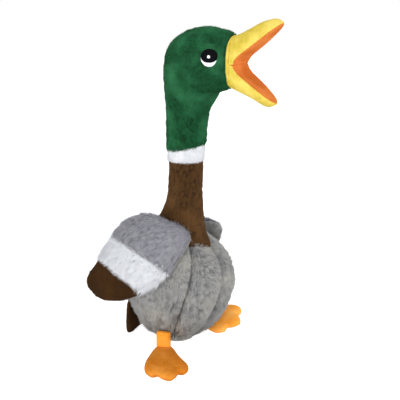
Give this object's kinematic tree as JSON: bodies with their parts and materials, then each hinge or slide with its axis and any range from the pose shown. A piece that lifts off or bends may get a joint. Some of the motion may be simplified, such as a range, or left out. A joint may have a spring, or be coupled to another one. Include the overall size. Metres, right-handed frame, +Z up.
{
  "type": "plush duck dog toy",
  "caption": "Upright plush duck with a round seamed body, long bending neck, open two-part beak, wadded wings, tail flap and floppy webbed feet, a squeaker inside.",
  "frame": {"origin": "on the floor, at the centre of the flat round panel under the body", "axes": "+X is the duck's front, +Y its left, +Z up along the neck"},
  "size_m": [0.2445, 0.2052, 0.4124],
  "materials": {
    "grey_plush": "matte",
    "brown_plush": "matte",
    "dark_brown_plush": "matte",
    "white_plush": "matte",
    "green_plush": "matte",
    "yellow_fabric": "matte",
    "beak_lining": "matte",
    "orange_fabric": "matte",
    "wadding": "matte",
    "eye_white": "matte",
    "eye_black": "gloss",
    "squeaker_vinyl": "matte",
    "squeaker_plastic": "matte"
  },
  "bodies": {
    "torso": {"body_gore_1": "grey_plush", "body_gore_2": "grey_plush", "body_gore_3": "grey_plush", "body_gore_4": "grey_plush", "body_gore_5": "grey_plush", "body_gore_6": "grey_plush", "bib": "brown_plush", "body_wadding": "wadding", "base_panel": "grey_plush", "squeaker_bulb": "squeaker_vinyl", "squeaker_tube": "squeaker_plastic"},
    "lower_neck": {"neck_cover_left": "brown_plush", "neck_cover_right": "brown_plush", "neck_wadding": "wadding"},
    "upper_neck": {"white_collar": "white_plush", "throat_cover_left": "green_plush", "throat_cover_right": "green_plush", "throat_wadding": "wadding"},
    "head": {"head_cover_left": "green_plush", "head_cover_right": "green_plush", "head_wadding": "wadding", "beak_band": "yellow_fabric", "beak_root_wadding": "wadding", "mouth_fold": "beak_lining", "eye_white_left": "eye_white", "eye_pupil_left": "eye_black", "eye_glint_left": "eye_white", "eye_white_right": "eye_white", "eye_pupil_right": "eye_black", "eye_glint_right": "eye_white"},
    "upper_beak": {"upper_beak_cover": "yellow_fabric", "upper_beak_lining": "beak_lining", "upper_beak_wadding": "wadding"},
    "lower_beak": {"lower_beak_cover": "yellow_fabric", "lower_beak_lining": "beak_lining", "lower_beak_wadding": "wadding"},
    "tail": {"tail_cover_outer": "dark_brown_plush", "tail_cover_inner": "dark_brown_plush", "tail_wadding": "wadding"},
    "wing_left": {"wing_shoulder_left": "grey_plush", "wing_white_band_left": "white_plush", "wing_brown_tip_left": "dark_brown_plush", "wing_underside_left": "grey_plush", "wing_wadding_left": "wadding"},
    "leg_left": {"leg_strap_left": "orange_fabric"},
    "foot_left": {"foot_upper_left": "orange_fabric", "foot_sole_left": "orange_fabric", "foot_wadding_left": "wadding"},
    "wing_right": {"wing_shoulder_right": "grey_plush", "wing_white_band_right": "white_plush", "wing_brown_tip_right": "dark_brown_plush", "wing_underside_right": "grey_plush", "wing_wadding_right": "wadding"},
    "leg_right": {"leg_strap_right": "orange_fabric"},
    "foot_right": {"foot_upper_right": "orange_fabric", "foot_sole_right": "orange_fabric", "foot_wadding_right": "wadding"}
  },
  "joints": [
    {"name": "neck_bend", "type": "hinge", "parent": "torso", "child": "lower_neck", "pos_m": [0.0095, 0, 0.186], "axis": [0, 1, 0], "range_deg": [-35, 36], "stiffness_Nm_per_rad": 2.2},
    {"name": "neck_sway", "type": "hinge", "parent": "lower_neck", "child": "upper_neck", "pos_m": [0.011, 0, 0.228], "axis": [1, 0, 0], "range_deg": [-35, 35], "stiffness_Nm_per_rad": 1.6},
    {"name": "head_nod", "type": "hinge", "parent": "upper_neck", "child": "head", "pos_m": [0.015, 0, 0.306], "axis": [0, 1, 0], "range_deg": [-30, 35], "stiffness_Nm_per_rad": 1},
    {"name": "upper_beak_squeeze", "type": "hinge", "parent": "head", "child": "upper_beak", "pos_m": [0.082, 0, 0.36], "axis": [0, 1, 0], "range_deg": [0, 38], "stiffness_Nm_per_rad": 0.15},
    {"name": "lower_beak_squeeze", "type": "hinge", "parent": "head", "child": "lower_beak", "pos_m": [0.082, 0, 0.36], "axis": [0, -1, 0], "range_deg": [0, 38], "stiffness_Nm_per_rad": 0.15},
    {"name": "wing_lift_right", "type": "hinge", "parent": "torso", "child": "wing_right", "pos_m": [0.012, -0.04116, 0.16905], "axis": [-0.9524, 0.1404, 0.2707], "range_deg": [0, 85]},
    {"name": "wing_lift_left", "type": "hinge", "parent": "torso", "child": "wing_left", "pos_m": [-0.01531, 0.07292, 0.14243], "axis": [0.877, 0.3589, -0.3193], "range_deg": [0, 85]},
    {"name": "tail_lift", "type": "hinge", "parent": "torso", "child": "tail", "pos_m": [-0.06789, 0, 0.048], "axis": [0, 1, 0], "range_deg": [0, 80]},
    {"name": "leg_swing_right", "type": "hinge", "parent": "torso", "child": "leg_right", "pos_m": [0.01197, -0.05632, 0.02723], "axis": [-0.9781, -0.2079, 0], "range_deg": [0, 85]},
    {"name": "foot_flex_right", "type": "hinge", "parent": "leg_right", "child": "foot_right", "pos_m": [0.01197, -0.05632, 0.0095], "axis": [-0.788, -0.6157, 0], "range_deg": [-35, 5]},
    {"name": "leg_swing_left", "type": "hinge", "parent": "torso", "child": "leg_left", "pos_m": [-0.00402, 0.05743, 0.02723], "axis": [0.9976, 0.0698, 0], "range_deg": [0, 85]},
    {"name": "foot_flex_left", "type": "hinge", "parent": "leg_left", "child": "foot_left", "pos_m": [-0.00402, 0.05743, 0.0195], "axis": [-0.1392, -0.9903, 0], "range_deg": [-35, 5]}
  ]
}
